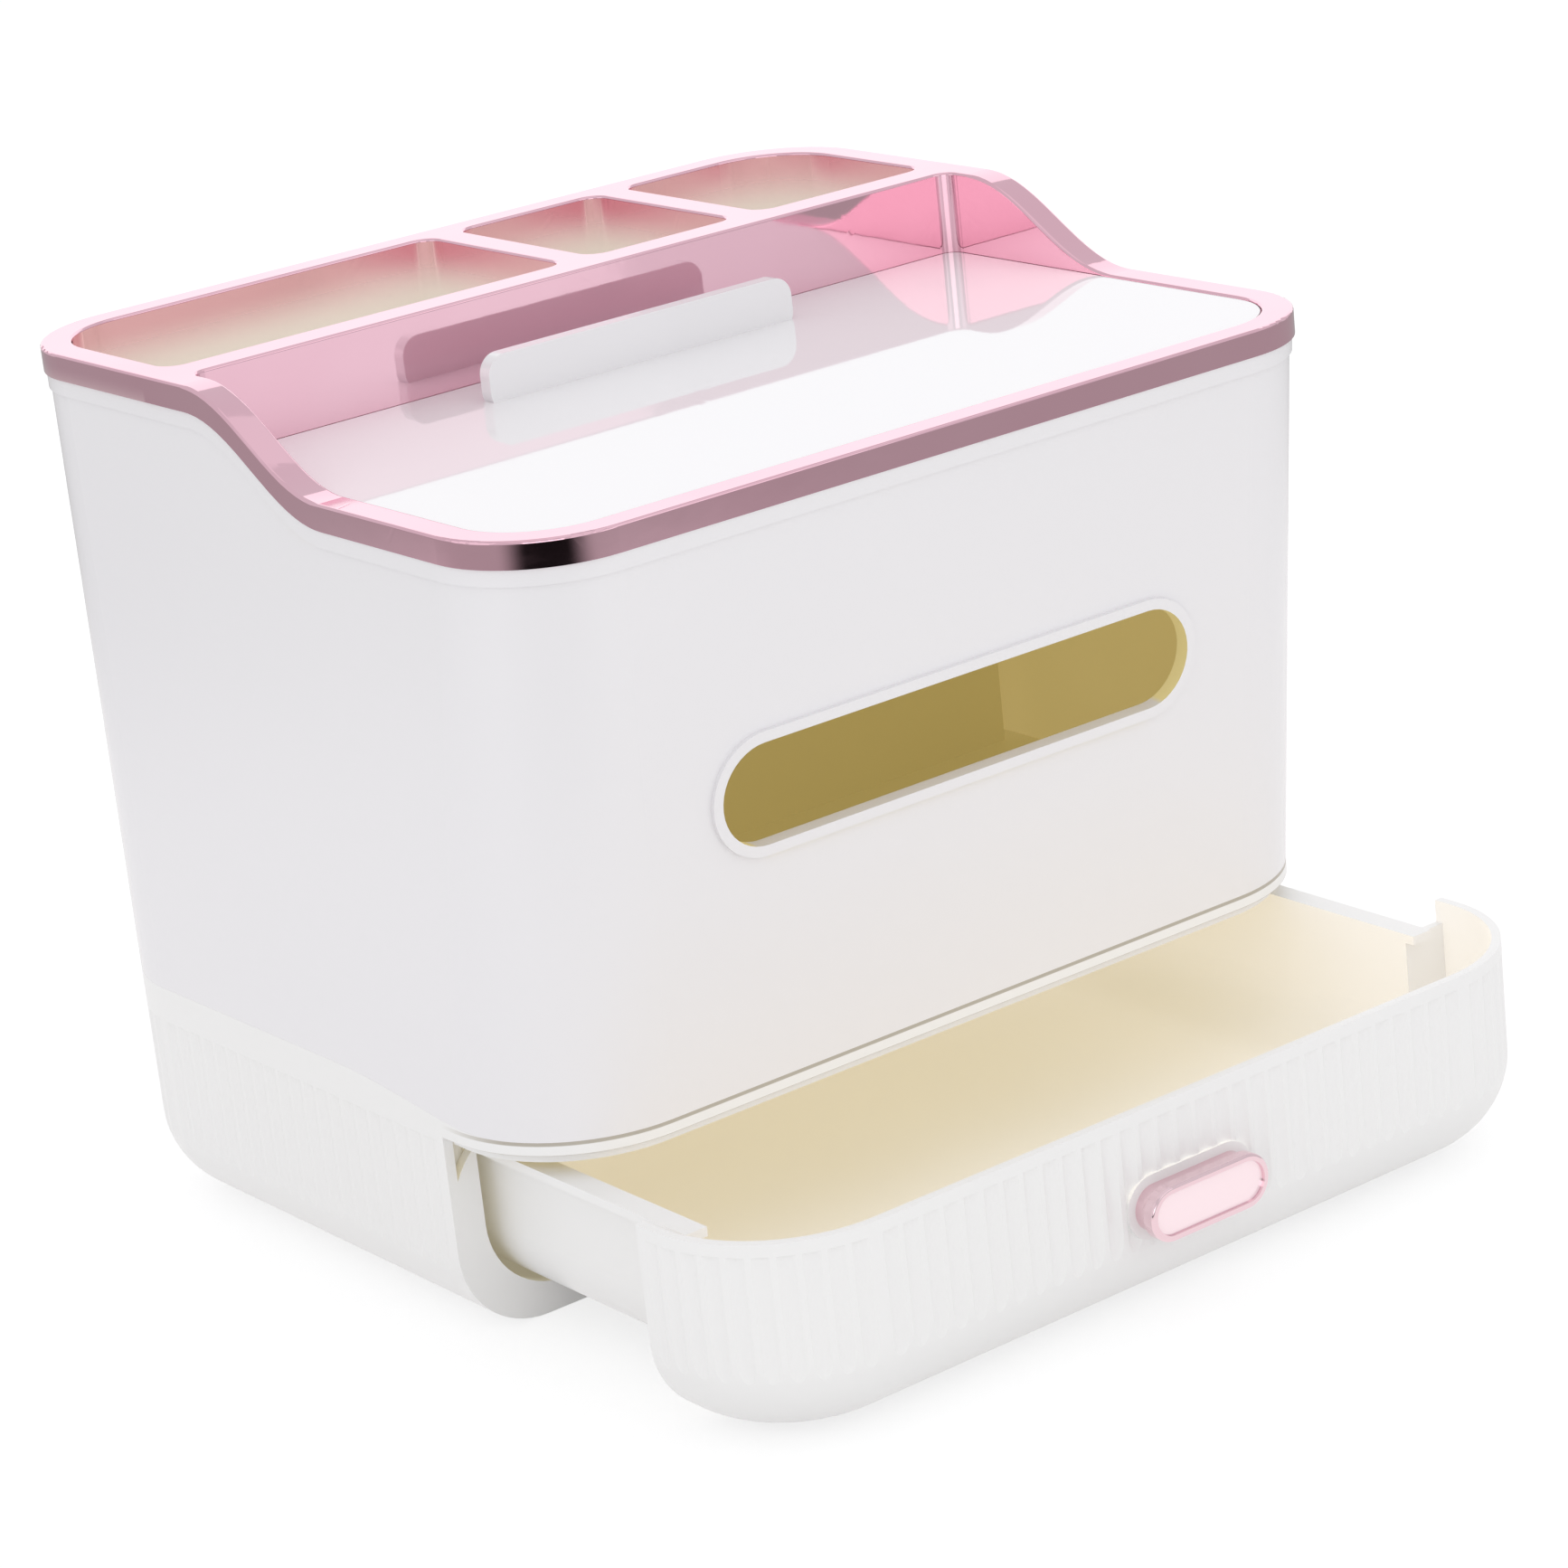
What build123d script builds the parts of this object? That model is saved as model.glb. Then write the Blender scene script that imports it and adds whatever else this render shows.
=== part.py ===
"""Tissue box with three rear compartments, a lift-off refill lid and a drawer in its base.

Frame: X runs along the front, Y to the rear, Z up. The origin is the middle of the underside.
The drawer is drawn pulled open, as it stands in use.
"""
import os
from math import atan, cos, floor, pi, radians, sin
from build123d import *

os.makedirs("parts", exist_ok=True)

# ---- rim of the plated frame -------------------------------------------------------------
rim_half_width = 120.0
rim_half_depth = 104.6
rim_corner = 28.0
rim_front_z = 196.0
rim_rear_z = 216.0
step_length = 52.0          # the side edge climbs over this length ...
step_gap = 8.0              # ... and ends this far before the long wall
step_ease = 20.0            # reach of the curve's two handles
band_height = 6.3
rim_face = 7.5              # width of the flat top face
rim_skin = 2.2
rim_edge = 0.7              # rounding of the plated edges

# ---- upper shell -------------------------------------------------------------------------
shell_wall = 2.5
shell_setback = 0.9         # shell face behind the plated band
lip_height = 4.0
lip_proud = 0.6
flange_z = 60.0             # inner flange that carries the tissue floor
flange_thick = 2.0
flange_width = 5.0

# ---- joint between shell and base ----------------------------------------------------------
joint_spread = 1.5          # joint wider than the rim, each side
front_taper = 14.2          # the front leans out on the way up, the rear stands nearly upright
rear_taper = 1.0
joint_front_corner = 35.0
joint_rear_corner = 34.0
joint_front_z = 54.7
joint_rear_z = 59.0
joint_front_y = -72.0       # the joint line rises between these two
joint_rear_y = -6.0
joint_ease = 26.0

# ---- dispensing slot -----------------------------------------------------------------------
slot_length = 137.6
slot_height = 24.4
slot_z = 124.4
slot_bead_width = 2.6
slot_bead_proud = 1.1

# ---- base ----------------------------------------------------------------------------------
base_wall = 2.5
base_floor = 2.5
base_round = 22.0
drawer_front_length = 40.4  # from the drawer's face back to the tub's own front
band_one = 3.2              # plain band under the joint, above the drawer
band_two = 2.6              # set-back lip under that band
lip_thick = 2.0
face_margin = 8.3           # tub's front face beside the drawer opening
opening_corner = 20.0
sill_z = 7.0
runner_inset = 28.8
runner_width = 4.0
column_radius = 2.8
column_inset = 5.7
column_web_length = 5.2       # from a column's middle to the side wall
column_web = 2.4
column_front_gap = 6.0      # behind the tub's front
column_rear_inset = 35.6    # before the tub's rear

# ---- flutes ----------------------------------------------------------------------------------
flute_pitch = 5.6
flute_depth = 0.6
flute_radius = 4.2
flute_top_gap = 3.0         # plain strip left above the flutes

# ---- drawer ----------------------------------------------------------------------------------
drawer_open = 72.6          # how far it stands open at rest
drawer_wall = 2.2
drawer_underside = 1.2
drawer_top_gap = 0.6
drawer_rear_gap = 10.6      # behind the closed tray
tray_play = 4.4             # tray to the side of its opening
rail_corner = 26.0
tray_bottom_round = 18.0
tray_under = 7.5
rail_play = 0.8             # rails to the sides of the opening
rail_z = 46.5
rail_tip = 5.0               # rails run this far past the wings' rear edges
rail_overhang = 1.0          # rail past the tray's rear wall
stop_length = 3.0
stop_height = 6.0
stop_z = 32.0
stop_gap = 1.5               # to the rear columns, drawer closed
stop_catch = 2.0            # stops past the sides of the opening

# ---- drawer pull -----------------------------------------------------------------------------
pull_length = 35.2
pull_height = 13.0
pull_z = 27.5
pull_plate = 3.0
pull_neck = 3.8
pull_neck_inset = 1.0
pull_rim = 1.5
pull_recess = 0.8
pull_notch_length = 14.0
pull_notch_depth = 1.2
pull_notch_width = 1.6
pull_screw_spacing = 18.0
pull_seat_margin = 1.2
pull_seat_proud = 0.3

# ---- compartments and lid --------------------------------------------------------------------
compartment_length = 58.6   # front to rear
long_wall_thick = 9.5
divider_one_x = 4.0
divider_two_x = 56.0
divider_width = 8.4
compartment_corner = 5.0
compartment_depth = 105.0
opening_rear_corner = 4.0
lid_thick = 2.8
lid_below_rim = 0.5
ledge_width = 3.0
ledge_thick = 2.2
lid_tab_length = 90.0
lid_tab_height = 11.0
lid_tab_thick = 3.8
lid_tab_corner = 5.0
lid_tab_gap = 18.0          # before the long wall

# ---- tissue floor and screws -------------------------------------------------------------------
floor_thick = 2.5
partition_thick = 2.3
screw_radius = 1.2
screw_head_radius = 2.4
screw_head_height = 1.6
floor_screw_length = 10.0
pull_screw_length = 5.4

# ---- clearances ----------------------------------------------------------------------------------
fit = 0.3                   # between pieces that slip into each other
seat = 0.1                  # under the plated band and the lid
screw_slack = 0.05
closed_gap = 0.5            # drawer front to base face, closed
reach = 400.0               # longer than the object

# ---- places worked out from the sizes above --------------------------------------------------------
joint_half_width = rim_half_width + joint_spread
joint_front_depth = rim_half_depth - front_taper
joint_rear_depth = rim_half_depth - rear_taper
base_face_y = drawer_front_length - joint_front_depth
drawer_rear_y = joint_rear_depth - drawer_rear_gap
opening_half_width = joint_half_width - face_margin
tray_half_width = opening_half_width - tray_play
rail_half_width = opening_half_width - rail_play
stop_half_width = opening_half_width + stop_catch
runner_x = tray_half_width - runner_inset
column_x = joint_half_width - column_inset
column_front_y = base_face_y + column_front_gap
column_rear_y = joint_rear_depth - column_rear_inset
long_wall_rear_y = rim_half_depth - rim_face - compartment_length
long_wall_front_y = long_wall_rear_y - long_wall_thick
lid_tab_y = long_wall_front_y - lid_tab_gap
step_rear_y = long_wall_front_y - step_gap
step_front_y = step_rear_y - step_length
lip_front_z = rim_front_z - band_height
lip_rear_z = rim_rear_z - band_height
flange_top_z = flange_z + flange_thick
ring_z = joint_front_z - band_one
lip_z = ring_z - band_two
drawer_top_z = ring_z - drawer_top_gap
lid_top_z = rim_front_z - lid_below_rim
ledge_top_z = lid_top_z - lid_thick - seat
opening_front_y = -(rim_half_depth - rim_face)
opening_half_x = rim_half_width - rim_face
front_lean = (rim_half_depth - shell_setback - joint_front_depth) / (lip_front_z - joint_front_z)
rear_lean = (rim_half_depth - shell_setback - joint_rear_depth) / (lip_rear_z - joint_rear_z)
side_lean = (rim_half_width - shell_setback - joint_half_width) / (lip_front_z - joint_front_z)
tray_corner = rail_corner - rail_half_width + tray_half_width
tray_floor_z = tray_under + drawer_wall
shoulder_z = rail_z - drawer_wall / 2
pull_y = joint_front_depth + pull_seat_proud


def plan(height, half_width, front_y, rear_y, front_corner, rear_corner):
    """Rectangle with two front and two rear corner radii, on a level plane."""
    with BuildSketch(Plane.XY.offset(height)) as outline:
        with Locations((0, (front_y + rear_y) / 2)):
            Rectangle(2 * half_width, rear_y - front_y)
        fillet(outline.vertices().group_by(Axis.Y)[0], front_corner)
        fillet(outline.vertices().group_by(Axis.Y)[-1], rear_corner)
    return outline.sketch


def body_plan(height, inset=0.0):
    """Outline of the upper shell at a height: the front leans out on the way up."""
    front_rise = height - joint_front_z
    rear_rise = height - joint_rear_z
    share = front_rise / (lip_front_z - joint_front_z)
    front_corner = joint_front_corner + (rim_corner - joint_front_corner) * share
    rear_corner = joint_rear_corner + (rim_corner - joint_rear_corner) * share
    return plan(
        height,
        joint_half_width + side_lean * front_rise - inset,
        -(joint_front_depth + front_lean * front_rise) + inset,
        joint_rear_depth + rear_lean * rear_rise - inset,
        front_corner - inset,
        rear_corner - inset,
    )


def base_plan(height, inset=0.0):
    """Outline of the base, upright from the underside to the joint."""
    return plan(
        height,
        joint_half_width - inset,
        -joint_front_depth + inset,
        joint_rear_depth - inset,
        joint_front_corner - inset,
        joint_rear_corner - inset,
    )


def rim_plan(height, inset=0.0):
    """Outline of the plated rim."""
    return plan(
        height,
        rim_half_width - inset,
        -rim_half_depth + inset,
        rim_half_depth - inset,
        rim_corner - inset,
        rim_corner - inset,
    )


def wave(front_y, rear_y, front_z, rear_z, ease, low, high):
    """Block between two copies of a side curve, shifted down by low and up by high."""
    with BuildPart() as block:
        with BuildSketch(Plane.YZ):
            with BuildLine():
                for shift in (low, high):
                    Line((-reach, front_z + shift), (front_y, front_z + shift))
                    Bezier(
                        (front_y, front_z + shift),
                        (front_y + ease, front_z + shift),
                        (rear_y - ease, rear_z + shift),
                        (rear_y, rear_z + shift),
                    )
                    Line((rear_y, rear_z + shift), (reach, rear_z + shift))
                Line((-reach, front_z + low), (-reach, front_z + high))
                Line((reach, rear_z + low), (reach, rear_z + high))
            make_face()
        extrude(amount=reach, both=True)
    return block.part


def rim_slab(low, high):
    """Everything between two heights measured from the rim's stepped top."""
    return wave(step_front_y, step_rear_y, rim_front_z, rim_rear_z, step_ease, low, high)


def joint_slab(low, high):
    """Everything between two heights measured from the joint line."""
    return wave(joint_front_y, joint_rear_y, joint_front_z, joint_rear_z, joint_ease, low, high)


def rounded_tub(bottom, top, inset, bottom_round):
    """Upright block on the base outline with its bottom edge rounded."""
    with BuildPart() as tub:
        extrude(base_plan(bottom, inset), amount=top - bottom)
        fillet(tub.faces().sort_by(Axis.Z)[0].edges(), bottom_round)
    return tub.part


def ring(bottom, top, outer_inset, inner_inset):
    """Upright ring on the base outline."""
    with BuildPart() as hoop:
        extrude(base_plan(bottom, outer_inset), amount=top - bottom)
        extrude(base_plan(bottom, inner_inset), amount=top - bottom, mode=Mode.SUBTRACT)
    return hoop.part


def flutes(start_y, end_y, bottom, top):
    """Upright rods round the base outline whose near sides cut the shallow flutes."""
    straight_x = joint_half_width - joint_front_corner
    flute_out = flute_radius - flute_depth
    front_y = -joint_front_depth + joint_front_corner
    rear_y = joint_rear_depth - joint_rear_corner
    front_count = floor(2 * straight_x / flute_pitch)
    row = [(i - front_count / 2) * flute_pitch for i in range(front_count + 1)]
    ends = [(x, -joint_front_depth - flute_out) for x in row]
    ends += [(x, joint_rear_depth + flute_out) for x in row]
    side_count = floor((rear_y - front_y) / flute_pitch)
    right = [(joint_half_width + flute_out, front_y + i * flute_pitch) for i in range(side_count + 1)]
    corners = [(joint_front_corner, front_y, -1), (joint_rear_corner, rear_y, 1)]
    for radius, centre_y, way in corners:
        count = round(pi / 2 * radius / flute_pitch)
        for i in range(1, count):
            turn = radians(90.0 * i / count)
            out = radius + flute_out
            right.append((joint_half_width - radius + out * sin(turn), centre_y + way * out * cos(turn)))
    left = [(-x, y) for x, y in right]
    rods = [place for place in ends + right + left if start_y < place[1] < end_y]
    with BuildPart() as cutters:
        with Locations([(x, y, bottom) for x, y in rods]):
            Cylinder(flute_radius, top - bottom, align=(Align.CENTER, Align.CENTER, Align.MIN))
    return cutters.part


# ---- base ------------------------------------------------------------------------------------
with BuildPart() as base:
    add(rounded_tub(0, joint_rear_z, 0, base_round))
    add(rounded_tub(base_floor, joint_rear_z, base_wall, base_round - base_wall), mode=Mode.SUBTRACT)
    add(joint_slab(0, reach), mode=Mode.SUBTRACT)
    # the front third is left to the drawer front, under the band that runs across it
    with BuildSketch(Plane.XY):
        with Locations((0, base_face_y - reach / 2)):
            Rectangle(reach, reach)
    extrude(amount=ring_z, mode=Mode.SUBTRACT)
    # shelf, locating upstand and the set-back lip over the drawer
    add(ring(ring_z, joint_front_z - fit, 0, drawer_wall + 2 * fit + lip_thick))
    upstand_inset = shell_wall + fit
    add(ring(ring_z, flange_z - fit, upstand_inset, drawer_wall + 2 * fit + lip_thick))
    with BuildSketch(Plane.XY.offset(lip_z)):
        add(base_plan(0, drawer_wall + 2 * fit))
        add(base_plan(0, drawer_wall + 2 * fit + lip_thick), mode=Mode.SUBTRACT)
        with Locations((0, base_face_y + reach / 2)):
            Rectangle(reach, reach, mode=Mode.SUBTRACT)
    extrude(amount=band_two)
    # face panel with the drawer opening
    with BuildSketch(Plane.XZ.offset(-base_face_y)) as face:
        with Locations((0, ring_z / 2)):
            Rectangle(2 * joint_half_width, ring_z)
        fillet(face.vertices().group_by(Axis.Z)[0], base_round)
        with Locations((0, sill_z + reach / 2)):
            Rectangle(2 * opening_half_width, reach, mode=Mode.SUBTRACT)
    extrude(amount=-base_wall)
    with BuildSketch(Plane.XZ.offset(-base_face_y)):
        for hand in (-1, 1):
            with BuildLine():
                corner_x = hand * opening_half_width
                arc_x = hand * (opening_half_width - opening_corner)
                Line((corner_x, sill_z), (corner_x, sill_z + opening_corner))
                RadiusArc((corner_x, sill_z + opening_corner), (arc_x, sill_z), hand * opening_corner)
                Line((arc_x, sill_z), (corner_x, sill_z))
            make_face()
    extrude(amount=-base_wall)
    # runners under the tray
    with BuildSketch(Plane.XY.offset(base_floor)):
        runner_y = (drawer_rear_y + base_face_y) / 2
        with Locations((-runner_x, runner_y), (runner_x, runner_y)):
            Rectangle(runner_width, drawer_rear_y - base_face_y - 2 * base_wall)
    extrude(amount=tray_under - fit - base_floor)
    # screw columns, which also stop the drawer
    column_y = (column_front_y, column_rear_y)
    column_places = [(hand * column_x, y) for hand in (-1, 1) for y in column_y]
    with BuildSketch(Plane.XY.offset(base_round)):
        with Locations(column_places):
            Circle(column_radius)
    extrude(amount=flange_top_z - base_round)
    with BuildSketch(Plane.XY.offset(base_round)):
        for x, y in column_places:
            with Locations((x * (column_x + column_web_length / 2) / column_x, y)):
                Rectangle(column_web_length, column_web)
    extrude(amount=ring_z - base_round)
    with BuildSketch(Plane.XY.offset(flange_top_z)):
        with Locations(column_places):
            Circle(screw_radius + screw_slack)
    extrude(amount=-floor_screw_length, mode=Mode.SUBTRACT)
    rib_cutters = flutes(base_face_y + base_wall, reach, base_round / 2, ring_z - flute_top_gap / 2)
    add(rib_cutters, mode=Mode.SUBTRACT)

# ---- shell -----------------------------------------------------------------------------------
slot_plane = Plane(
    origin=(0, -(joint_front_depth + front_lean * (slot_z - joint_front_z)), slot_z),
    x_dir=(1, 0, 0),
    z_dir=(0, -cos(atan(front_lean)), -sin(atan(front_lean))),
)
with BuildPart() as shell:
    low_z = joint_front_z - band_one
    loft(sections=[body_plan(low_z), body_plan(rim_rear_z)], ruled=True)
    add(rim_slab(-band_height - seat, reach), mode=Mode.SUBTRACT)
    with BuildPart(mode=Mode.PRIVATE) as lip:
        loft(sections=[body_plan(low_z, -lip_proud), body_plan(rim_rear_z, -lip_proud)], ruled=True)
        add(rim_slab(-band_height - lip_height, -band_height - seat), mode=Mode.INTERSECT)
    add(lip.part)
    loft(
        sections=[body_plan(low_z, shell_wall), body_plan(rim_rear_z, shell_wall)],
        ruled=True,
        mode=Mode.SUBTRACT,
    )
    add(joint_slab(-reach, 0), mode=Mode.SUBTRACT)
    # flange that the tissue floor clamps down on the base
    with BuildPart(mode=Mode.PRIVATE) as flange:
        extrude(body_plan(flange_z, shell_wall / 2), amount=flange_thick)
        extrude(body_plan(flange_z, shell_wall + flange_width), amount=flange_thick, mode=Mode.SUBTRACT)
        with Locations([(x, y, flange_z) for x, y in column_places]):
            Cylinder(column_radius + fit, reach, mode=Mode.SUBTRACT)
    add(flange.part)
    with BuildSketch(slot_plane):
        SlotOverall(slot_length + 2 * slot_bead_width, slot_height + 2 * slot_bead_width)
    extrude(amount=slot_bead_proud)
    with BuildSketch(slot_plane.offset(-2 * shell_wall)):
        SlotOverall(slot_length, slot_height)
    extrude(amount=4 * shell_wall, mode=Mode.SUBTRACT)

# ---- tissue floor with its upright partition ---------------------------------------------------
partition_y = long_wall_front_y - fit
with BuildPart() as tissue_floor:
    extrude(body_plan(flange_top_z, shell_wall + 2 * fit), amount=floor_thick)
    with BuildSketch(Plane.XY.offset(flange_top_z)):
        with Locations((0, partition_y - partition_thick / 2)):
            Rectangle(2 * opening_half_x, partition_thick)
    extrude(amount=ledge_top_z - ledge_thick - fit - flange_top_z)
    with BuildSketch(Plane.XY.offset(flange_top_z)):
        with Locations(column_places):
            Circle(screw_radius + fit)
    extrude(amount=floor_thick, mode=Mode.SUBTRACT)

# ---- floor screws ------------------------------------------------------------------------------
with BuildPart() as floor_screws:
    with BuildSketch(Plane.XY.offset(flange_top_z + floor_thick)):
        with Locations(column_places):
            Circle(screw_head_radius)
    extrude(amount=screw_head_height)
    with BuildSketch(Plane.XY.offset(flange_top_z + floor_thick)):
        with Locations(column_places):
            Circle(screw_radius)
    extrude(amount=-(floor_screw_length - screw_head_height))

# ---- plated top frame ----------------------------------------------------------------------------
compartment_rear_y = rim_half_depth - rim_face
compartment_floor_z = rim_rear_z - compartment_depth
compartment_spans = [
    (-opening_half_x, divider_one_x - divider_width / 2),
    (divider_one_x + divider_width / 2, divider_two_x - divider_width / 2),
    (divider_two_x + divider_width / 2, opening_half_x),
]


def compartment(height, span, grow):
    """Outline of one compartment: the rim's inner outline cut at its dividers."""
    low_x, high_x = span
    front_y = long_wall_rear_y
    with BuildSketch(Plane.XY.offset(height)) as outline:
        add(rim_plan(0, rim_face - grow))
        with Locations(((low_x + high_x) / 2, (front_y + rim_half_depth) / 2)):
            Rectangle(high_x - low_x + 2 * grow, rim_half_depth - front_y + 2 * grow, mode=Mode.INTERSECT)
        sharp = [
            corner
            for corner in outline.vertices()
            if abs(corner.Y - front_y + grow) < fit
            or (abs(corner.X - low_x + grow) < fit and low_x > -opening_half_x)
            or (abs(corner.X - high_x - grow) < fit and high_x < opening_half_x)
        ]
        fillet(sharp, compartment_corner + grow)
    return outline.sketch


def lid_opening(height, inset):
    """Outline of the opening in front of the compartments."""
    return plan(
        height,
        opening_half_x - inset,
        opening_front_y + inset,
        long_wall_front_y - inset,
        rim_corner - rim_face - inset,
        opening_rear_corner - min(inset, opening_rear_corner / 2),
    )


def is_seam(edge):
    """True for the straight lines across the rim where its level parts meet the step."""
    across = abs(edge.tangent_at(0.5).X) > 0.999
    at_step = any(abs(edge.center().Y - y) < 0.01 for y in (step_front_y, step_rear_y))
    return across and at_step


with BuildPart() as top_frame:
    extrude(rim_plan(lip_front_z - band_height), amount=rim_rear_z)
    add(rim_slab(-reach, -band_height), mode=Mode.SUBTRACT)
    add(rim_slab(0, reach), mode=Mode.SUBTRACT)
    with BuildPart(mode=Mode.PRIVATE) as under:
        extrude(rim_plan(0, shell_wall + shell_setback), amount=rim_rear_z)
        add(rim_slab(-rim_skin, reach), mode=Mode.SUBTRACT)
    add(under.part, mode=Mode.SUBTRACT)
    # walls round the lid opening, down to the ledge that carries the lid
    with BuildPart(mode=Mode.PRIVATE) as lid_walls:
        extrude(lid_opening(ledge_top_z - ledge_thick, -rim_skin), amount=reach / 4)
        add(rim_slab(-rim_edge, reach), mode=Mode.SUBTRACT)
    add(lid_walls.part)
    for span in compartment_spans:
        extrude(compartment(compartment_floor_z - rim_skin, span, rim_skin), amount=compartment_depth)
    extrude(lid_opening(ledge_top_z, 0), amount=reach / 4, mode=Mode.SUBTRACT)
    extrude(lid_opening(ledge_top_z - ledge_thick, ledge_width), amount=reach / 4, mode=Mode.SUBTRACT)
    for span in compartment_spans:
        extrude(compartment(compartment_floor_z, span, 0), amount=reach, mode=Mode.SUBTRACT)

    # the plated edges are slightly round
    top_faces = top_frame.faces().filter_by(lambda face: face.normal_at(face.center()).Z > 0.7)
    top_faces = top_faces.filter_by(lambda face: face.center().Z > ledge_top_z + rim_edge)
    fillet(top_faces.edges().filter_by(lambda edge: not is_seam(edge)), rim_edge)

# ---- lid -----------------------------------------------------------------------------------------
with BuildPart() as lid:
    extrude(lid_opening(lid_top_z - lid_thick, fit), amount=lid_thick)
    with BuildSketch(Plane.XZ.offset(-lid_tab_y + lid_tab_thick / 2)) as tab:
        with Locations((0, lid_top_z + (lid_tab_height - lid_thick) / 2)):
            Rectangle(lid_tab_length, lid_tab_height + lid_thick)
        fillet(tab.vertices().group_by(Axis.Z)[-1], lid_tab_corner)
    extrude(amount=-lid_tab_thick)

# ---- drawer --------------------------------------------------------------------------------------
wing_rear_y = base_face_y - closed_gap
rail_front_y = wing_rear_y - rail_tip
rail_rear_y = drawer_rear_y + rail_overhang
with BuildPart() as drawer:
    add(rounded_tub(drawer_underside, drawer_top_z, 0, base_round))
    add(
        rounded_tub(
            drawer_underside + drawer_wall,
            reach / 4,
            drawer_wall,
            base_round - drawer_wall,
        ),
        mode=Mode.SUBTRACT,
    )
    with BuildSketch(Plane.XY):
        with Locations((0, wing_rear_y + reach / 2)):
            Rectangle(reach, reach)
    extrude(amount=reach, mode=Mode.SUBTRACT)
    add(flutes(-reach, wing_rear_y, base_round / 2, drawer_top_z - flute_top_gap), mode=Mode.SUBTRACT)
    # inner floor and shoulders of the front, cut to its outer form
    with BuildPart(mode=Mode.PRIVATE) as inside_front:
        add(rounded_tub(drawer_underside, shoulder_z, drawer_wall / 2, base_round - drawer_wall / 2))
        with BuildSketch(Plane.XY):
            with Locations((0, wing_rear_y + reach / 2)):
                Rectangle(reach, reach)
        extrude(amount=reach, mode=Mode.SUBTRACT)
        with BuildSketch(Plane.XY.offset(tray_floor_z)):
            with Locations((0, wing_rear_y - drawer_wall - reach / 2)):
                Rectangle(reach, reach)
        extrude(amount=reach, mode=Mode.SUBTRACT)
        with BuildSketch(Plane.XY):
            with Locations((0, wing_rear_y)):
                Rectangle(reach, reach)
        extrude(amount=tray_under, mode=Mode.SUBTRACT)
    add(inside_front.part)
    # tray behind the front
    with BuildPart(mode=Mode.PRIVATE) as tray:
        with BuildSketch(Plane.XY.offset(tray_under)):
            with Locations((0, (wing_rear_y - drawer_wall + drawer_rear_y) / 2)):
                Rectangle(2 * tray_half_width, drawer_rear_y - wing_rear_y + drawer_wall)
        extrude(amount=shoulder_z - tray_under)
        fillet(tray.edges().filter_by(Axis.Z).group_by(Axis.Y)[-1], tray_corner)
        fillet(tray.faces().sort_by(Axis.Z)[0].edges().sort_by(Axis.Y)[1:], tray_bottom_round - fit)
    add(tray.part)
    with BuildSketch(Plane.XY.offset(rail_z - drawer_wall)) as rail:
        with Locations((0, (rail_front_y + rail_rear_y) / 2)):
            Rectangle(2 * rail_half_width, rail_rear_y - rail_front_y)
        fillet(rail.vertices().group_by(Axis.Y)[-1], rail_corner)
    extrude(amount=drawer_wall)
    with BuildPart(mode=Mode.PRIVATE) as tray_inside:
        inside_half = tray_half_width - drawer_wall
        inside_rear_y = drawer_rear_y - drawer_wall
        inside_front_y = rail_front_y - drawer_wall
        with BuildSketch(Plane.XY.offset(tray_floor_z)):
            with Locations((0, (inside_front_y + inside_rear_y) / 2)):
                Rectangle(2 * inside_half, inside_rear_y - inside_front_y)
        extrude(amount=reach / 4)
        fillet(tray_inside.edges().filter_by(Axis.Z).group_by(Axis.Y)[-1], tray_corner - drawer_wall)
        floor_edges = tray_inside.faces().sort_by(Axis.Z)[0].edges().sort_by(Axis.Y)[1:]
        fillet(floor_edges, tray_bottom_round - drawer_wall - fit)
    add(tray_inside.part, mode=Mode.SUBTRACT)
    # stops that meet the base's front columns
    for hand in (-1, 1):
        with BuildSketch(Plane.XY.offset(stop_z)):
            stop_x = hand * (tray_half_width - drawer_wall / 2 + stop_half_width) / 2
            with Locations((stop_x, column_rear_y - column_radius - stop_gap - stop_length / 2)):
                Rectangle(stop_half_width - tray_half_width + drawer_wall / 2, stop_length)
        extrude(amount=stop_height)
    # seat and screw holes of the pull
    with BuildSketch(Plane.XZ.offset(joint_front_depth - flute_depth - drawer_wall / 4)):
        with Locations((0, pull_z)):
            SlotOverall(pull_length + 2 * pull_seat_margin, pull_height + 2 * pull_seat_margin)
    extrude(amount=flute_depth + drawer_wall / 4 + pull_seat_proud)
    pull_screw_places = [(-pull_screw_spacing / 2, pull_z), (pull_screw_spacing / 2, pull_z)]
    with BuildSketch(Plane.XZ.offset(pull_y)):
        with Locations(pull_screw_places):
            Circle(screw_radius + fit)
    extrude(amount=-2 * drawer_wall, mode=Mode.SUBTRACT)

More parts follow.
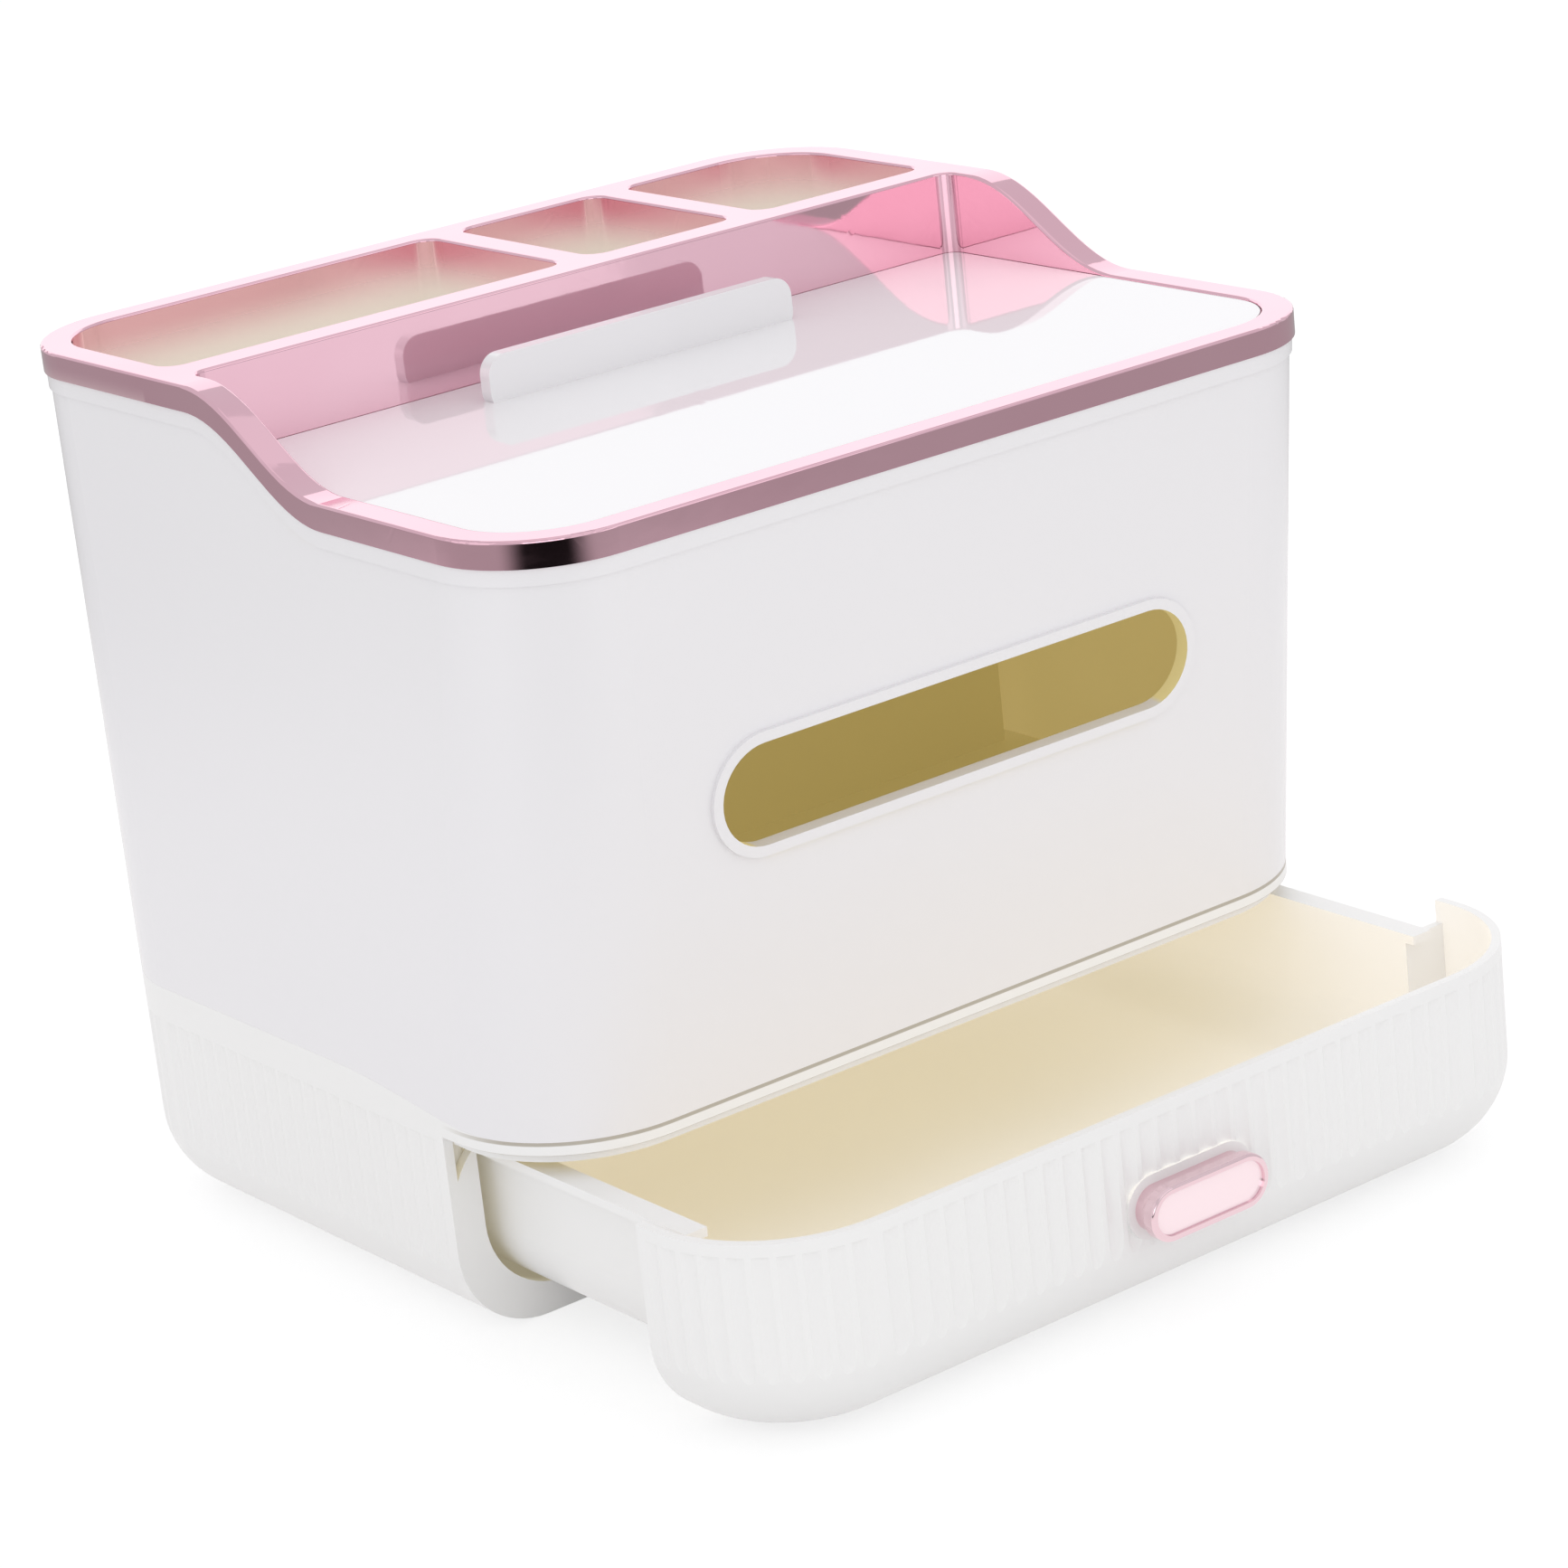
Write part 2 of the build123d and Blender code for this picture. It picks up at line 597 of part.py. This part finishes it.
# ---- drawer pull and its screws --------------------------------------------------------------------
with BuildPart() as drawer_pull:
    with BuildSketch(Plane.XZ.offset(pull_y)):
        with Locations((0, pull_z)):
            SlotOverall(pull_length - 2 * pull_neck_inset, pull_height - 2 * pull_neck_inset)
    extrude(amount=pull_neck)
    with BuildSketch(Plane.XZ.offset(pull_y + pull_neck)):
        with Locations((0, pull_z)):
            SlotOverall(pull_length, pull_height)
    extrude(amount=pull_plate)
    front_edges = drawer_pull.faces().sort_by(Axis.Y)[0].edges()
    fillet(front_edges, pull_rim / 2)
    with BuildSketch(Plane.XZ.offset(pull_y + pull_neck + pull_plate)):
        with Locations((0, pull_z)):
            SlotOverall(pull_length - 2 * pull_rim, pull_height - 2 * pull_rim)
    extrude(amount=-pull_recess, mode=Mode.SUBTRACT)
    with BuildSketch(Plane.XZ.offset(pull_y + pull_neck)):
        with Locations((-pull_notch_length / 4, pull_z + pull_height / 2 - pull_neck_inset)):
            Rectangle(pull_notch_length, 2 * pull_notch_depth)
    extrude(amount=-pull_notch_width, mode=Mode.SUBTRACT)
    with BuildSketch(Plane.XZ.offset(pull_y)):
        with Locations(pull_screw_places):
            Circle(screw_radius + screw_slack)
    extrude(amount=pull_neck, mode=Mode.SUBTRACT)

with BuildPart() as pull_screws:
    with BuildSketch(Plane.XZ.offset(joint_front_depth - drawer_wall)):
        with Locations(pull_screw_places):
            Circle(screw_head_radius)
    extrude(amount=-screw_head_height)
    with BuildSketch(Plane.XZ.offset(joint_front_depth - drawer_wall)):
        with Locations(pull_screw_places):
            Circle(screw_radius)
    extrude(amount=pull_screw_length)

# ---- the drawer group stands open, and every piece is written out ------------------------------------
pulled_out = Pos(0, -drawer_open, 0)
pieces = {
    "shell": shell.part,
    "base": base.part,
    "tissue_floor": tissue_floor.part,
    "floor_screws": floor_screws.part,
    "top_frame": top_frame.part,
    "lid": lid.part,
    "drawer": pulled_out * drawer.part,
    "drawer_pull": pulled_out * drawer_pull.part,
    "pull_screws": pulled_out * pull_screws.part,
}
for name, piece in pieces.items():
    piece.label = name
    export_step(piece, f"parts/{name}.step")
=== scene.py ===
import math

import bpy
import numpy as np
from mathutils import Matrix, Vector

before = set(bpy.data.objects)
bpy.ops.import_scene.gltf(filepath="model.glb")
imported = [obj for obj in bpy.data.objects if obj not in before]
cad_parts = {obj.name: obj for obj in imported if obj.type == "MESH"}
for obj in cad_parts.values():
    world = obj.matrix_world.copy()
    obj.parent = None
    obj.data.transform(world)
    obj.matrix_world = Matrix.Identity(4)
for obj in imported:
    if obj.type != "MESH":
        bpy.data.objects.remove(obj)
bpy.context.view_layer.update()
scene = bpy.context.scene


# ---- camera ------------------------------------------------------------------------------------
def stand_camera(azimuth, elevation, roll, distance, target, lens):
    """A camera on the sphere round target, turned by roll about its own line of sight."""
    a, e, r = (math.radians(angle) for angle in (azimuth, elevation, roll))
    back = Vector((math.sin(a) * math.cos(e), -math.cos(a) * math.cos(e), math.sin(e)))
    level = Vector((math.cos(a), math.sin(a), 0))
    upright = back.cross(level)
    across = math.cos(r) * level + math.sin(r) * upright
    up = -math.sin(r) * level + math.cos(r) * upright
    data = bpy.data.cameras.new("camera")
    data.sensor_width = 36.0
    data.lens = lens
    data.clip_start = 0.05
    data.clip_end = 40.0
    camera = bpy.data.objects.new("camera", data)
    turn = Matrix((across, up, back)).transposed().to_4x4()
    camera.matrix_world = Matrix.Translation(Vector(target) + back * distance) @ turn
    scene.collection.objects.link(camera)
    scene.camera = camera


stand_camera(
    azimuth=-36.21,
    elevation=18.51,
    roll=-6.2,
    distance=1.20624,
    target=(0.02022, 0.0, 0.08434),
    lens=112.42,
)

# ---- node helpers ------------------------------------------------------------------------------
SOCKET = {"value": "NodeSocketFloat", "colour": "NodeSocketColor", "vector": "NodeSocketVector"}
BLACK = (0.0, 0.0, 0.0, 1.0)
WHITE = (1.0, 1.0, 1.0, 1.0)


def colour(hex_code):
    """Linear colour of a six-figure sRGB code."""
    parts = np.array([int(hex_code[i : i + 2], 16) for i in (0, 2, 4)]) / 255
    linear = np.where(parts <= 0.04045, parts / 12.92, ((parts + 0.055) / 1.055) ** 2.4)
    return (*linear.tolist(), 1.0)


def put(tree, kind, inputs=None, **settings):
    """A node of that kind with its settings, its inputs set to values or joined to sockets."""
    node = tree.nodes.new(kind)
    for name, value in settings.items():
        setattr(node, name, value)
    for key, value in (inputs or {}).items():
        if isinstance(value, bpy.types.NodeSocket):
            tree.links.new(value, node.inputs[key])
        else:
            node.inputs[key].default_value = value
    return node


def place_group(tree, group, inputs):
    """The outputs of that shader node group, placed in a tree with its inputs given by name."""
    return put(tree, "ShaderNodeGroup", inputs, node_tree=group).outputs


def maths(tree, operation, *inputs, **settings):
    """The value of a maths node on those inputs, in their order."""
    node = put(tree, "ShaderNodeMath", dict(enumerate(inputs)), operation=operation, **settings)
    return node.outputs["Value"]


def vector_maths(tree, operation, *inputs):
    """What a vector maths node gives: a number for a length, distance or dot, else a vector."""
    node = put(tree, "ShaderNodeVectorMath", dict(enumerate(inputs)), operation=operation)
    gives_number = operation in ("LENGTH", "DISTANCE", "DOT_PRODUCT")
    return node.outputs["Value" if gives_number else "Vector"]


def split(tree, vector):
    """The X, Y and Z of a vector, by name."""
    return put(tree, "ShaderNodeSeparateXYZ", {"Vector": vector}).outputs


def ramp(tree, value, start, end, low=0.0, high=1.0, smooth=False):
    """The value carried over from start..end to low..high, and held at both ends."""
    inputs = {"Value": value, "From Min": start, "From Max": end, "To Min": low, "To Max": high}
    kind = "SMOOTHSTEP" if smooth else "LINEAR"
    return put(tree, "ShaderNodeMapRange", inputs, interpolation_type=kind).outputs["Result"]


def noise(tree, place, scale, detail, roughness=0.5):
    """The value of a noise texture at that place."""
    inputs = {"Vector": place, "Scale": scale, "Detail": detail, "Roughness": roughness}
    return put(tree, "ShaderNodeTexNoise", inputs).outputs["Fac"]


def blend(tree, share, first, second):
    """The first colour where share is 0, the second where it is 1."""
    return put(tree, "ShaderNodeMix", {0: share, 6: first, 7: second}, data_type="RGBA").outputs[2]


def by_ray(tree, light, gloss, camera):
    """One shader for what lights the object, one for what gloss shows and one for the camera."""
    ray = put(tree, "ShaderNodeLightPath").outputs
    unseen = put(tree, "ShaderNodeMixShader", {0: ray["Is Glossy Ray"], 1: light, 2: gloss})
    inputs = {0: ray["Is Camera Ray"], 1: unseen.outputs["Shader"], 2: camera}
    return put(tree, "ShaderNodeMixShader", inputs).outputs["Shader"]


def new_group(name, inputs, outputs):
    """An empty shader node group; inputs and outputs give the kind of each socket by its name."""
    group = bpy.data.node_groups.new(name, "ShaderNodeTree")
    for in_out, sockets in (("INPUT", inputs), ("OUTPUT", outputs)):
        for label, kind in sockets.items():
            group.interface.new_socket(label, in_out=in_out, socket_type=SOCKET[kind])
    given = group.nodes.new("NodeGroupInput").outputs
    return group, given, group.nodes.new("NodeGroupOutput").inputs


# ---- shared effects ----------------------------------------------------------------------------
def make_moulding():
    """Moulded plastic: slow colour drift, rubbed patches and fine skin on the surface."""
    group, given, result = new_group(
        "moulding",
        {
            "Place": "vector",
            "Light Tone": "colour",
            "Deep Tone": "colour",
            "Drift Scale": "value",
            "Skin Scale": "value",
            "Gloss": "value",
            "Rub": "value",
        },
        {"Colour": "colour", "Roughness": "value", "Height": "value"},
    )
    place = given["Place"]
    drift = noise(group, place, given["Drift Scale"], detail=3.0, roughness=0.45)
    tone = blend(group, drift, given["Deep Tone"], given["Light Tone"])
    group.links.new(tone, result["Colour"])
    # rubbed patches: stretched noise, only its peaks
    stretched = put(group, "ShaderNodeMapping", {"Vector": place, "Scale": (1.0, 1.0, 3.4)})
    patches = noise(group, stretched.outputs["Vector"], scale=34.0, detail=6.0, roughness=0.66)
    peaks = ramp(group, patches, 0.48, 0.72, smooth=True)
    rubbed = maths(group, "MULTIPLY_ADD", peaks, given["Rub"], given["Gloss"])
    group.links.new(rubbed, result["Roughness"])
    skin = noise(group, place, given["Skin Scale"], detail=2.0, roughness=0.4)
    group.links.new(skin, result["Height"])
    return group


def make_handling():
    """Fine hair scratches and finger haze: two thin wave bands at odd angles, broken up by noise."""
    group, given, result = new_group(
        "handling",
        {"Place": "vector", "Scratch Scale": "value", "Haze": "value"},
        {"Scratches": "value", "Haze": "value"},
    )
    place = given["Place"]
    masks = []
    for turn in ((0.4, 0.9, 0.3), (-0.7, 0.2, 1.1)):
        turned = put(group, "ShaderNodeMapping", {"Vector": place, "Rotation": turn})
        wave = put(
            group,
            "ShaderNodeTexWave",
            {
                "Vector": turned.outputs["Vector"],
                "Scale": given["Scratch Scale"],
                "Distortion": 9.0,
                "Detail": 3.0,
                "Detail Scale": 0.6,
            },
        )
        masks.append(ramp(group, wave.outputs["Fac"], 0.985, 1.0))
    both = maths(group, "MAXIMUM", *masks)
    gate = ramp(group, noise(group, place, scale=46.0, detail=2.0), 0.56, 0.66)
    group.links.new(maths(group, "MULTIPLY", both, gate), result["Scratches"])
    cloud = noise(group, place, scale=19.0, detail=4.0, roughness=0.6)
    soft = ramp(group, cloud, 0.45, 0.75, smooth=True)
    group.links.new(maths(group, "MULTIPLY", soft, given["Haze"]), result["Haze"])
    return group


# The inward mask picks the faces that get painted shade, a warm bounce tint and painted light.
def make_inward():
    """1 where a face looks in to the middle of the box or up from a floor, 0 on the outside."""
    depth_weight = 1.25  # the box is wider than it is deep
    floor_top, floor_sure = 0.045, 0.041  # above floor_top a level face is a rim, not a floor
    group, given, result = new_group(
        "inward",
        {"Place": "vector", "Normal": "vector", "Middle Y": "value", "Floors": "value"},
        {"Mask": "value"},
    )
    middle = put(group, "ShaderNodeCombineXYZ", {"Y": given["Middle Y"]})
    away = vector_maths(group, "SUBTRACT", given["Place"], middle.outputs["Vector"])
    flat = vector_maths(group, "MULTIPLY", away, (1.0, depth_weight, 0.0))
    facing = vector_maths(group, "DOT_PRODUCT", flat, given["Normal"])
    inner = ramp(group, facing, -0.004, -0.012)
    up = ramp(group, split(group, given["Normal"])["Z"], 0.35, 0.6)
    low = ramp(group, split(group, given["Place"])["Z"], floor_top, floor_sure)
    floors = maths(group, "MULTIPLY", maths(group, "MULTIPLY", up, low), given["Floors"])
    group.links.new(maths(group, "MAXIMUM", inner, floors), result["Mask"])
    return group


def make_seam_shade():
    """1 on a thin level line round the front of the base, where shade is painted in the gap between
    two parts; 0 elsewhere and behind its front third.
    """
    front_start, front_sure = -0.05, -0.07
    group, given, result = new_group(
        "seam_shade", {"Place": "vector", "Line Z": "value", "Half Width": "value"}, {"Mask": "value"}
    )
    parts = split(group, given["Place"])
    off = maths(group, "ABSOLUTE", maths(group, "SUBTRACT", parts["Z"], given["Line Z"]))
    share = maths(group, "DIVIDE", off, given["Half Width"])
    line = ramp(group, share, 0.6, 1.0, low=1.0, high=0.0, smooth=True)
    front = ramp(group, parts["Y"], front_start, front_sure)
    group.links.new(maths(group, "MULTIPLY", line, front), result["Mask"])
    return group


moulding = make_moulding()
seam_shade = make_seam_shade()
handling = make_handling()
inward = make_inward()


# ---- materials ---------------------------------------------------------------------------------
def start_finish(name, tones, gloss, rub, drift, skin, scratch, relief, depth):
    """A material with its roughness and normal joined, and its colour still open.

    tones are its light and deep colour; drift, skin and scratch are the scales of those patterns;
    relief and depth are the strength and distance of the skin's bump. Gives back the material,
    its tree, its Principled shader, the places to look patterns up at, and the drifting colour."""
    material = bpy.data.materials.new(name)
    material.use_nodes = True
    tree = material.node_tree
    tree.nodes.clear()
    shader = tree.nodes.new("ShaderNodeBsdfPrincipled")
    put(tree, "ShaderNodeOutputMaterial", {"Surface": shader.outputs["BSDF"]})
    place = put(tree, "ShaderNodeTexCoord").outputs
    light, deep = tones
    body = place_group(
        tree,
        moulding,
        {
            "Place": place["Object"],
            "Light Tone": colour(light),
            "Deep Tone": colour(deep),
            "Drift Scale": drift,
            "Skin Scale": skin,
            "Gloss": gloss,
            "Rub": rub,
        },
    )
    marks = place_group(
        tree, handling, {"Place": place["Object"], "Scratch Scale": scratch, "Haze": rub}
    )
    rough = maths(tree, "ADD", body["Roughness"], marks["Haze"], use_clamp=True)
    tree.links.new(rough, shader.inputs["Roughness"])
    raised = put(
        tree, "ShaderNodeBump", {"Height": body["Height"], "Strength": relief, "Distance": depth}
    )
    hair = put(
        tree,
        "ShaderNodeBump",
        {
            "Height": marks["Scratches"],
            "Strength": 0.03,
            "Distance": 0.0002,
            "Normal": raised.outputs["Normal"],
        },
        invert=True,
    )
    tree.links.new(hair.outputs["Normal"], shader.inputs["Normal"])
    return material, tree, shader, place, body["Colour"]


def make_plastic(
    name, tones, gloss, rub, skin, relief, inside=None, middle=0.0, floors=1.0, painted_glow=0.0,
    seam_shade_heights=(), own=None,
):
    """Moulded plastic.

    inside gives the light and deep colour of the faces that look in to middle, a place along Y;
    that cream tone is partly the plastic's own and partly painted shade and warm bounce light, and
    painted_glow is the strength of light painted on those faces. floors is 1 where level floors
    count as inside. seam_shade_heights are the heights of thin lines of painted shade in the gaps
    between parts. own holds values for the shader's own sockets."""
    material, tree, shader, place, tone = start_finish(
        name, tones, gloss, rub, drift=7.0, skin=skin, scratch=9.0, relief=relief, depth=0.0004
    )
    # Faces that look in get a cream tone, partly the plastic's own and partly painted shade and warm
    # bounce light; their emission is painted light.
    if inside:
        light, deep = inside
        inputs = {
            "Place": place["Object"],
            "Normal": place["Normal"],
            "Middle Y": middle,
            "Floors": floors,
        }
        mask = place_group(tree, inward, inputs)["Mask"]
        clouds = noise(tree, place["Object"], scale=11.0, detail=3.0)
        inner_tone = blend(tree, clouds, colour(deep), colour(light))
        tone = blend(tree, mask, tone, inner_tone)
        tree.links.new(blend(tree, mask, BLACK, inner_tone), shader.inputs["Emission Color"])
        shader.inputs["Emission Strength"].default_value = painted_glow
    # Thin darker lines of painted shade in the gaps between shell, band and lip.
    for line_z in seam_shade_heights:
        inputs = {"Place": place["Object"], "Line Z": line_z, "Half Width": 0.0006}
        tone = blend(tree, place_group(tree, seam_shade, inputs)["Mask"], tone, colour("B9B2A6"))
    tree.links.new(tone, shader.inputs["Base Color"])
    shader.inputs["IOR"].default_value = 1.49
    for key, value in (own or {}).items():
        shader.inputs[key].default_value = value
    return material


def make_plating(name, tones, gloss, ripple, thin_mask=None, thin_tone=None, metal=1.0, painted_glow=0.0):
    """Vacuum plating: a tinted mirror with slow ripple, haze and hair scratches.

    thin_mask marks where the plating thins and the plastic shows, with its own colour and metal;
    painted_glow sets how strongly light is painted on those places."""
    material, tree, shader, place, tone = start_finish(
        name, tones, gloss, rub=0.05, drift=16.0, skin=85.0, scratch=16.0, relief=ripple, depth=0.0008
    )
    if thin_mask:
        mask = thin_mask(tree, place["Object"])
        tone = blend(tree, mask, tone, colour(thin_tone))
        tree.links.new(ramp(tree, mask, 0.0, 1.0, low=1.0, high=metal), shader.inputs["Metallic"])
        # The thin places shine with painted light, an emission in their own colour.
        painted_glow_colour = blend(tree, mask, BLACK, colour(thin_tone))
        tree.links.new(painted_glow_colour, shader.inputs["Emission Color"])
        shader.inputs["Emission Strength"].default_value = painted_glow
    else:
        shader.inputs["Metallic"].default_value = metal
    tree.links.new(tone, shader.inputs["Base Color"])
    return material


def pocket_mask(tree, place):
    """1 deep in the rear compartments, where the plating thins out, 0 at the rim."""
    thin_start, thin_sure = 0.2135, 0.2
    wall_front, wall_sure = 0.0375, 0.0383
    parts = split(tree, place)
    deep = ramp(tree, parts["Z"], thin_start, thin_sure, smooth=True)
    rear = ramp(tree, parts["Y"], wall_front, wall_sure)
    return maths(tree, "MULTIPLY", deep, rear)


def recess_mask(tree, place):
    """1 inside the stadium of the pull's sunk face: distance to its middle line under 4.9 mm."""
    half_line, line_z = 0.0111, 0.0275  # the middle line of the stadium
    edge, edge_sure = 0.0050, 0.0047
    face_y, face_sure = -0.1685, -0.169
    parts = split(tree, place)
    past = maths(tree, "SUBTRACT", maths(tree, "ABSOLUTE", parts["X"]), half_line)
    over = maths(tree, "MAXIMUM", past, 0.0)
    rise = maths(tree, "SUBTRACT", parts["Z"], line_z)
    flat = put(tree, "ShaderNodeCombineXYZ", {"X": over, "Z": rise})
    reach = vector_maths(tree, "LENGTH", flat.outputs["Vector"])
    sunk = ramp(tree, reach, edge, edge_sure)
    front = ramp(tree, parts["Y"], face_y, face_sure)
    return maths(tree, "MULTIPLY", sunk, front)


screw_steel = make_plating("screw_steel", tones=("C9C9CC", "A9AAAE"), gloss=0.22, ripple=0.1)
# In the plastics below, the inside tones are partly painted shade and warm bounce light, painted_glow
# is light painted on inward faces, and seam_shade_heights place thin lines of painted shade.
finishes = {
    "shell": make_plastic(
        "shell_white",
        tones=("F1EFF0", "EEECEE"),
        gloss=0.22,
        rub=0.02,
        skin=260.0,
        relief=0.006,
        inside=("DCCF9C", "CABB80"),
        floors=0.0,
        painted_glow=0.3,
    ),
    "base": make_plastic(
        "base_white",
        tones=("F6F5F4", "F3F2F0"),
        gloss=0.3,
        rub=0.02,
        skin=240.0,
        relief=0.006,
        inside=("F1EDE0", "E6DEC2"),
        painted_glow=0.14,
        seam_shade_heights=(0.0511, 0.0543),
    ),
    "drawer": make_plastic(
        "drawer_white",
        tones=("F7F6F5", "F4F3F1"),
        gloss=0.3,
        rub=0.02,
        skin=240.0,
        relief=0.006,
        inside=("F7F4EF", "F1ECE3"),
        middle=-0.045,
        painted_glow=0.22,
    ),
    # The inner floor's khaki tones are partly the cream plastic's own and partly painted shade and
    # warm bounce light; its emission is painted light.
    "tissue_floor": make_plastic(
        "inner_white",
        tones=("D6CA96", "C4B67C"),
        gloss=0.4,
        rub=0.05,
        skin=240.0,
        relief=0.01,
        own={"Emission Color": colour("CDBF84"), "Emission Strength": 0.2},
    ),
    "lid": make_plastic(
        "lid_white",
        tones=("F2F0F1", "F0EEF0"),
        gloss=0.03,
        rub=0.015,
        skin=300.0,
        relief=0.004,
        own={"IOR": 1.55, "Coat Weight": 0.3, "Coat Roughness": 0.02},
    ),
    "top_frame": make_plating(
        "rose_plating",
        tones=("F7D0DC", "EFBCCC"),
        gloss=0.045,
        ripple=0.04,
        thin_mask=pocket_mask,
        thin_tone="DAD3C9",
        metal=0.05,
        painted_glow=0.3,
    ),
    "drawer_pull": make_plating(
        "pull_plating",
        tones=("F6DDE3", "EBCBD3"),
        gloss=0.05,
        ripple=0.03,
        thin_mask=recess_mask,
        thin_tone="FBE6EA",
        metal=0.35,
        painted_glow=0.08,
    ),
    "floor_screws": screw_steel,
    "pull_screws": screw_steel,
}
for node_name, finish in finishes.items():
    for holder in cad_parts[node_name].material_slots:
        holder.material = finish


# ---- studio ------------------------------------------------------------------------------------
def make_floor():
    """A level sheet just under the object, wide enough to fill every view."""
    half, drop = 6.0, 0.0002
    paper_end, room_start, room_share = 0.42, 0.8, 0.42  # where gloss sees the paper end
    dim_place, dim_core, dim_edge = (-0.46, -0.63, 0.0), 0.22, 0.54
    corners = np.array([(-half, -half, 0), (half, -half, 0), (half, half, 0), (-half, half, 0)])
    mesh = bpy.data.meshes.new("floor")
    mesh.from_pydata((corners - (0, 0, drop)).tolist(), [], [(0, 1, 2, 3)])
    floor = bpy.data.objects.new("floor", mesh)
    scene.collection.objects.link(floor)
    material = bpy.data.materials.new("floor_paper")
    material.use_nodes = True
    tree = material.node_tree
    tree.nodes.clear()
    place = put(tree, "ShaderNodeTexCoord").outputs["Object"]
    reach = vector_maths(tree, "LENGTH", place)
    paper = ramp(tree, reach, paper_end, room_start, low=1.0, high=room_share, smooth=True)
    # the dim corner on the near left, which only gloss picks up
    off = vector_maths(tree, "DISTANCE", place, dim_place)
    dimmed = ramp(tree, off, dim_core, dim_edge, low=0.02, smooth=True)
    shown = maths(tree, "MULTIPLY", paper, dimmed)
    # seen by the camera: paper that is just white where nothing shades it
    seen = put(tree, "ShaderNodeBsdfDiffuse", {"Color": (0.32, 0.32, 0.32, 1.0)})
    lit = put(tree, "ShaderNodeEmission", {"Color": WHITE, "Strength": 0.74})
    front = put(tree, "ShaderNodeAddShader", {0: seen.outputs["BSDF"], 1: lit.outputs["Emission"]})
    # seen in gloss: the paper ends and the dim room begins
    mirrored = put(tree, "ShaderNodeEmission", {"Color": (1.0, 0.98, 0.98, 1.0), "Strength": shown})
    bounce = put(tree, "ShaderNodeBsdfDiffuse", {"Color": (0.86, 0.86, 0.86, 1.0)})
    whole = by_ray(
        tree, bounce.outputs["BSDF"], mirrored.outputs["Emission"], front.outputs["Shader"]
    )
    put(tree, "ShaderNodeOutputMaterial", {"Surface": whole})
    mesh.materials.append(material)


def light_world():
    """Even pale light from all round; the camera sees plain white, gloss sees a dim room."""
    world = bpy.data.worlds.new("studio")
    scene.world = world
    world.use_nodes = True
    tree = world.node_tree
    tree.nodes.clear()
    room = put(tree, "ShaderNodeBackground", {"Color": (0.98, 0.985, 1.0, 1.0), "Strength": 0.89})
    dim = put(tree, "ShaderNodeBackground", {"Color": (0.98, 0.98, 1.0, 1.0), "Strength": 0.72})
    white = put(tree, "ShaderNodeBackground", {"Color": WHITE, "Strength": 1.0})
    whole = by_ray(tree, *(sky.outputs["Background"] for sky in (room, dim, white)))
    put(tree, "ShaderNodeOutputWorld", {"Surface": whole})


def hang_softbox(name, place, aim, width, height, radiance, tint=(1.0, 1.0, 1.0)):
    """A rectangular lamp that faces its aim; its power follows from the radiance asked for."""
    data = bpy.data.lights.new(name, "AREA")
    data.shape = "RECTANGLE"
    data.size = width
    data.size_y = height
    data.energy = radiance * width * height * math.pi
    data.color = tint
    lamp = bpy.data.objects.new(name, data)
    line = Vector(aim) - Vector(place)
    turn = line.to_track_quat("-Z", "Y").to_matrix().to_4x4()
    lamp.matrix_world = Matrix.Translation(Vector(place)) @ turn
    lamp.visible_camera = False
    scene.collection.objects.link(lamp)


make_floor()
light_world()
hang_softbox("overhead", (0.1, -0.35, 1.35), (0, -0.1, 0.1), 1.5, 1.5, 0.14)
hang_softbox("back_paper", (0.95, 1.3, 0.62), (0, 0, 0.2), 2.6, 1.3, 0.48)
hang_softbox("left_window", (-1.5, 0.1, 0.75), (0, 0, 0.12), 0.9, 1.2, 0.25, (0.98, 0.98, 1.0))
hang_softbox("low_fill", (-1.15, -1.5, 0.4), (0, -0.05, 0.05), 1.1, 0.6, 1.0)
hang_softbox("front_fill", (0.5, -1.7, 0.85), (0, 0, 0.12), 1.3, 0.9, 0.35)
scene.view_settings.view_transform = "Standard"
